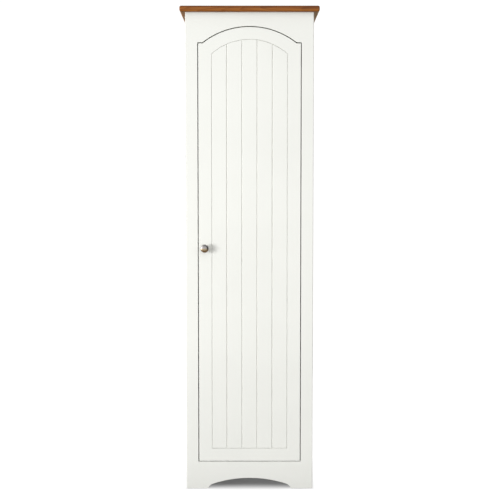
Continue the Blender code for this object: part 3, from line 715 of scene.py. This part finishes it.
def make_top_board(oak):
    """Oak top: moulded on the front and both ends, flush and square at the back."""
    low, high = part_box("top_board")
    rings = []
    bm = bmesh.new()
    for inset, height in moulded_edge(high.z - low.z):
        half = high.x - inset
        front = low.y + inset
        soft = max(TOP_CORNER_LEAST, TOP_CORNER_RADIUS - TOP_CORNER_LOSS * inset)
        step = math.radians(18)
        plan = [(-half, high.y)]
        plan += arc((-half + soft, front + soft), soft, math.pi, 1.5 * math.pi, step)
        plan += arc((half - soft, front + soft), soft, 1.5 * math.pi, 2 * math.pi, step)
        plan += [(half, high.y)]
        rings.append([bm.verts.new((x, y, low.z + height)) for x, y in plan])
    for first, second in zip(rings, rings[1:]):
        for i in range(len(first)):
            j = (i + 1) % len(first)
            bm.faces.new((first[i], first[j], second[j], second[i]))
    bm.faces.new(rings[0])
    bm.faces.new(rings[-1])
    finish_piece(object_from(bm, "oak_top"), oak, "oak", "cabinet", "top_board")


# ---- door --------------------------------------------------------------------------------------
def hinge_height(number):
    low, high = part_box(f"hinge_plate_{number}")
    return (low.z + high.z) / 2


def make_door_frame(paint):
    """Stiles, arched head and bottom rail of the door as one painted frame, bored for the cups."""
    edge, out = PANEL_HALF, DOOR_HALF - SIDE_REVEAL
    shoulder = DOOR_SHOULDER - ARCH_REVEAL
    radius = DOOR_ARC_RADIUS - ARCH_REVEAL
    spring = half_chord(ARC_CENTRE_Z, radius, shoulder)
    panel_spring = arch_height(PANEL_ARC_CENTRE_Z, PANEL_ARC_RADIUS, edge)
    stile = [(edge, DOOR_LOW), (out, DOOR_LOW), (out, shoulder)]
    stile += arch(ARC_CENTRE_Z, radius, spring, edge)
    stile += [(edge, panel_spring), (edge, PANEL_LOW)]
    head = arch(ARC_CENTRE_Z, radius, edge, -edge)
    head += arch(PANEL_ARC_CENTRE_Z, PANEL_ARC_RADIUS, -edge, edge)
    foot = [(-edge, DOOR_LOW), (edge, DOOR_LOW), (edge, PANEL_LOW), (-edge, PANEL_LOW)]
    bm = slab([stile, mirrored(stile), head, foot], (FRONT, DOOR_BACK))
    round_edges(bm, sharp_edges(bm, lambda p: near(p.y, FRONT)), EDGE_EASE)
    round_edges(bm, sharp_edges(bm, lambda p: near(p.y, DOOR_BACK)), BOARD_EASE, 2)
    door = object_from(bm, "door_frame")
    bores = []
    for number in range(1, HINGES + 1):
        deep = DOOR_BACK - CUP_DEPTH - BORE_PAST_FLOOR
        length = CUP_DEPTH + BORE_PAST_FLOOR + BORE_PAST_FACE
        centre = (CUP_X, deep + length / 2, hinge_height(number))
        bores.append(rod("bore", CUP_RADIUS + CUP_CLEARANCE, length, centre, "Y", 64))
    finish_piece(cut(door, [joined(bores)]), paint, "front_paint", "door",
                 "door_stile_left", "door_stile_right", "door_top_rail", "door_bottom_rail")


def groove(distance):
    """Depth of the V-joint at a distance from a plank's edge: a slot, a slope and a soft shoulder."""
    if distance < SLOT_HALF:
        return SLOT_DEPTH
    along = min(1.0, (distance - SLOT_HALF) / (GROOVE_HALF - SLOT_HALF))
    return GROOVE_DEPTH * (1.0 - math.sin(math.pi / 2 * along))


def groove_steps():
    """Distances from a plank's edge at which its face changes height."""
    slope = [SLOT_HALF + (GROOVE_HALF - SLOT_HALF) * i / 5 for i in range(6)]
    return [0.0, SLOT_HALF * 0.96] + slope


def make_plank(number, paint):
    """A plank grooved all round its face and chamfered down its back, its head cut to the arch."""
    pitch = 2 * PANEL_HALF / PLANKS
    left = -PANEL_HALF + (number - 1) * pitch
    right = left + pitch
    steps = groove_steps()
    middle = [left + GROOVE_HALF + (pitch - 2 * GROOVE_HALF) * i / 12 for i in range(1, 12)]
    xs = [left + s for s in steps] + middle + [right - s for s in reversed(steps)]
    rows = []
    bm = bmesh.new()
    for x in xs:
        head = arch_height(PANEL_ARC_CENTRE_Z, PANEL_ARC_RADIUS, x)
        heights = [PANEL_LOW + s for s in steps] + [head - s for s in reversed(steps)]
        ends = steps + list(reversed(steps))
        side = min(x - left, right - x)
        depths = [max(groove(side), groove(end)) for end in ends]
        face = [bm.verts.new((x, PLANK_FRONT + depth, z)) for depth, z in zip(depths, heights)]
        rear = PLANK_BACK - max(0.0, SEAM_EASE - side)
        back = [bm.verts.new((x, rear, PANEL_LOW)), bm.verts.new((x, rear, head))]
        rows.append((face, back))
    for (face, back), (next_face, next_back) in zip(rows, rows[1:]):
        for i in range(len(face) - 1):
            bm.faces.new((face[i], next_face[i], next_face[i + 1], face[i + 1]))
        bm.faces.new((back[0], back[1], next_back[1], next_back[0]))
        bm.faces.new((face[0], back[0], next_back[0], next_face[0]))
        bm.faces.new((face[-1], next_face[-1], next_back[1], back[1]))
    for face, back in (rows[0], rows[-1]):
        bm.faces.new(face + [back[1], back[0]])
    finish_piece(object_from(bm, f"plank_{number}"), paint, "front_paint", "door",
                 f"door_plank_{number}")


def make_knob(pewter):
    """Mushroom knob, turned about the axis of its screw."""
    low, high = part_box("knob")
    head = [(radius, KNOB_TIP - back) for radius, back in KNOB_FACE]
    profile = smooth_profile(head + KNOB_STEM, 6) + [(0.0, KNOB_BASE)]
    place = Matrix.Translation(((low.x + high.x) / 2, FRONT, (low.z + high.z) / 2))
    turn = Matrix.Rotation(math.pi / 2, 4, "X")
    finish_piece(lathe("pewter_knob", profile, place @ turn, 72), pewter, "pewter", "door", "knob")


# ---- metal and plastic fittings ----------------------------------------------------------------
def dress_frame_node(name, material):
    """Keep a node of the frame, with softened edges and a finished material."""
    obj = frame["nodes"][name]
    obj.data.materials.clear()
    obj.data.materials.append(material)
    soften = obj.modifiers.new("soften", "BEVEL")
    soften.width = FITTING_EASE
    soften.segments = 2
    soften.limit_method = "ANGLE"
    soften.angle_limit = CREASE_ANGLE


def screw_head(radius, height):
    """Mesh of a pan head with a cross recess, standing on its own XY plane."""
    profile = [(0.0, height), (radius * 0.45, height * 0.94), (radius * 0.80, height * 0.66),
               (radius, height * 0.22), (radius, 0.0), (0.0, 0.0)]
    head = lathe("head", profile, Matrix.Identity(4), 28)
    slots = []
    for turn in (0.0, math.pi / 2):
        slot = bmesh.new()
        size = Matrix.Diagonal((radius * 1.15, radius * 0.26, height, 1.0))
        place = Matrix.Translation((0.0, 0.0, height)) @ Matrix.Rotation(turn, 4, "Z")
        bmesh.ops.create_cube(slot, size=1.0, matrix=place @ size)
        slots.append(object_from(slot, "slot"))
    mesh = cut(head, slots).data
    bpy.data.objects.remove(head)
    return mesh


def make_screws(name, mesh, places, steel, body):
    """Copies of one screw head at several matrices, as one piece."""
    bm = bmesh.new()
    for place in places:
        head = mesh.copy()
        head.transform(place)
        bm.from_mesh(head)
        bpy.data.meshes.remove(head)
    finish_piece(object_from(bm, name), steel, "nickel", body)


def make_hinge_screws(steel):
    """Two screws in each cup's ears, and two in each plate with two in its arm."""
    cup_head = screw_head(*CUP_SCREW)
    plate_head = screw_head(*PLATE_SCREW)
    arm_head = screw_head(*ARM_SCREW)
    backward = Matrix.Rotation(-math.pi / 2, 4, "X")
    inward = Matrix.Rotation(-math.pi / 2, 4, "Y")
    for number in range(1, HINGES + 1):
        z = hinge_height(number)
        ear_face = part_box(f"hinge_cup_{number}")[1].y
        ears = [Matrix.Translation((CUP_X - EAR_OFFSET, ear_face, z + side * EAR_REACH)) @ backward
                for side in (-1, 1)]
        make_screws(f"cup_screws_{number}", cup_head, ears, steel, "door")
        plate_low, plate_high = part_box(f"hinge_plate_{number}")
        middle = (plate_low.y + plate_high.y) / 2
        wings = [Matrix.Translation((plate_low.x, middle, z + side * PLATE_SCREW_REACH)) @ inward
                 for side in (-1, 1)]
        make_screws(f"plate_screws_{number}", plate_head, wings, steel, "cabinet")
        arm_face = plate_low.x - ARM_THICKNESS
        arm = [Matrix.Translation((arm_face, middle + side * ARM_SCREW_REACH, z)) @ inward
               for side in (-1, 1)]
        make_screws(f"arm_screws_{number}", arm_head, arm, steel, "cabinet")


def make_catch(plastic, steel):
    """Moulded housing of the magnetic catch with its two steel poles in a slot."""
    low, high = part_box("magnetic_catch")
    middle = (low.z + high.z) / 2
    left, right = low.x + CATCH_SLOT_MARGIN, high.x - CATCH_SLOT_MARGIN
    slot = eased_box("slot", (left, low.y - OVERCUT, middle - CATCH_SLOT_HALF),
                     (right, low.y + CATCH_SLOT_DEPTH, middle + CATCH_SLOT_HALF), THIN_BOARD_EASE)
    housing = cut(eased_box("catch_housing", low, high, ease=CATCH_EASE, segments=3), [slot])
    finish_piece(housing, plastic, "white_plastic", "cabinet", "magnetic_catch")
    for name, z in (("lower", middle - POLE_OFFSET), ("upper", middle + POLE_OFFSET)):
        near_end = (left + POLE_SIDE_GAP, low.y + POLE_SETBACK, z - POLE_HALF)
        far_end = (right - POLE_SIDE_GAP, low.y + POLE_REACH, z + POLE_HALF)
        pole = eased_box(f"catch_pole_{name}", near_end, far_end, FITTING_EASE)
        finish_piece(pole, steel, "nickel", "cabinet")


def make_fittings(steel, plastic, nylon):
    for number in range(1, HINGES + 1):
        for part in ("cup", "plate", "arm", "link_inner", "link_outer"):
            dress_frame_node(f"hinge_{part}_{number}", steel)
    make_hinge_screws(steel)
    dress_frame_node("knob_screw", steel)
    dress_frame_node("catch_strike_plate", steel)
    make_catch(plastic, steel)
    for side in ("left", "right"):
        for place in ("front", "rear"):
            dress_frame_node(f"glide_{side}_{place}", nylon)
            for shelf in SHELVES:
                dress_frame_node(f"shelf_pin_{shelf}_{side}_{place}", steel)


# ---- stage -------------------------------------------------------------------------------------
def make_floor():
    """A wide floor that the eye sees as white paper, shaded only under and close to the cabinet."""
    bm = bmesh.new()
    bmesh.ops.create_circle(bm, cap_ends=True, radius=FLOOR_RADIUS, segments=96)
    floor = object_from(bm, "floor")
    bpy.context.scene.collection.objects.link(floor)
    made, nodes, shader = new_material("floor_white", FLOOR_GREY, 0.9, Specular_IOR_Level=0.0)
    rays = nodes.add("ShaderNodeLightPath")
    grey = nodes.mix(rays.outputs["Is Glossy Ray"], (*FLOOR_GREY, 1.0), FLOOR_REFLECTED)
    link(made, grey, shader.inputs["Base Color"])
    back = CAD_BOX[1][1]
    centre_y = (FRONT + back) / 2
    from_centre = nodes.place(offset=(0.0, -centre_y, 0.0))
    parts = nodes.add("ShaderNodeSeparateXYZ", {"Vector": from_centre})
    past_x = nodes.math("SUBTRACT", nodes.math("ABSOLUTE", parts.outputs["X"]), BODY_HALF)
    past_y = nodes.math("SUBTRACT", nodes.math("ABSOLUTE", parts.outputs["Y"]), back - centre_y)
    outside = nodes.math("MAXIMUM", past_x, past_y)
    open_floor = nodes.add("ShaderNodeMapRange", {
        "Value": outside, "From Min": -SHADE_INSIDE, "From Max": SHADE_OUTSIDE,
        "To Min": SHADE_DARK, "To Max": SHADE_LIGHT},
        interpolation_type="SMOOTHSTEP").outputs["Result"]
    shader.inputs["Emission Color"].default_value = NO_TINT
    link(made, nodes.math("MULTIPLY", open_floor, rays.outputs["Is Camera Ray"]),
         shader.inputs["Emission Strength"])
    floor.data.materials.append(made)


def make_world():
    """A white backdrop for the eye, a soft room for the paint, and a starker one for the gloss."""
    world = bpy.data.worlds.new("studio")
    bpy.context.scene.world = world
    world.use_nodes = True
    nodes = Nodes(world.node_tree)
    direction = nodes.add("ShaderNodeTexCoord").outputs["Generated"]
    parts = nodes.add("ShaderNodeSeparateXYZ", {"Vector": direction})
    sideways = nodes.spread(parts.outputs["X"], -1.0, 1.0, 0.0, 1.0)
    upward = nodes.spread(parts.outputs["Z"], -1.0, 1.0, 0.0, 1.0)
    room = nodes.math(
        "MULTIPLY",
        nodes.levels(sideways, [(0.0, 0.30), (0.25, 0.50), (0.45, 1.0), (0.62, 0.98), (1.0, 0.55)]),
        nodes.levels(upward, [(0.0, 0.35), (0.45, 0.50), (0.58, 0.95), (0.74, 0.95), (0.92, 0.60),
                              (1.0, 0.45)]))
    gloss = nodes.math(
        "MULTIPLY",
        nodes.levels(sideways, [(0.0, 2.0), (0.10, 1.6), (0.22, 0.80), (0.36, 0.57), (0.60, 0.52),
                                (0.78, 0.12), (1.0, 0.05)]),
        nodes.levels(upward, [(0.0, 0.4), (0.5, 1.0), (0.70, 0.70), (1.0, 0.30)]))
    rays = nodes.add("ShaderNodeLightPath")
    light = nodes.blend(rays.outputs["Is Glossy Ray"], nodes.math("MULTIPLY", room, ROOM_LIGHT),
                        nodes.math("MULTIPLY", gloss, GLOSS_LIGHT))
    strength = nodes.blend(rays.outputs["Is Camera Ray"], light, BACKDROP)
    background = world.node_tree.nodes["Background"]
    warm_floor = nodes.ramp(upward, [(0.46, GLOSS_BELOW), (0.50, (1.0, 1.0, 1.0))])
    tint = nodes.mix(rays.outputs["Is Glossy Ray"], NO_TINT, warm_floor)
    world.node_tree.links.new(tint, background.inputs["Color"])
    world.node_tree.links.new(strength, background.inputs["Strength"])


def make_key_light():
    """A soft box well to the left of the camera, level with the middle of the door."""
    data = bpy.data.lights.new("key", "AREA")
    data.shape = "RECTANGLE"
    data.size, data.size_y = KEY_SIZE
    data.energy = KEY_POWER
    data.spread = KEY_SPREAD
    light = bpy.data.objects.new("key", data)
    bpy.context.scene.collection.objects.link(light)
    light.visible_glossy = False
    light.location = (-KEY_DISTANCE * math.sin(KEY_AZIMUTH),
                      FRONT - KEY_DISTANCE * math.cos(KEY_AZIMUTH), KEY_HEIGHT)
    aim = Vector((KEY_AIM[0], FRONT, KEY_AIM[1]))
    light.rotation_euler = (aim - light.location).to_track_quat("-Z", "Y").to_euler()


# ---- the scene ---------------------------------------------------------------------------------
bpy.context.scene.view_settings.view_transform = "Standard"
make_camera()
make_world()
make_key_light()
make_floor()

front_paint = paint_material("front_paint", WHITE, 0.42, "Z")
case_paint = paint_material("case_paint", WHITE, 0.45, "Z")
back_paint = paint_material("back_paint", (0.76, 0.76, 0.72), 0.62, "X")
oak = oak_material()
pewter = metal_material("satin_pewter", (0.56, 0.535, 0.53), 0.17)
steel = metal_material("nickel_plate", (0.66, 0.65, 0.63), 0.27)
plastic = plastic_material("catch_plastic", (0.74, 0.74, 0.71), 0.45)
nylon = plastic_material("glide_nylon", (0.16, 0.16, 0.16), 0.60)

make_face_frame(front_paint)
make_side_panel("left", -1, case_paint)
make_side_panel("right", 1, case_paint)
make_boards(case_paint, back_paint)
make_top_board(oak)
make_door_frame(front_paint)
for plank in range(1, PLANKS + 1):
    make_plank(plank, front_paint)
make_knob(pewter)
make_fittings(steel, plastic, nylon)

bpy.context.view_layer.update()
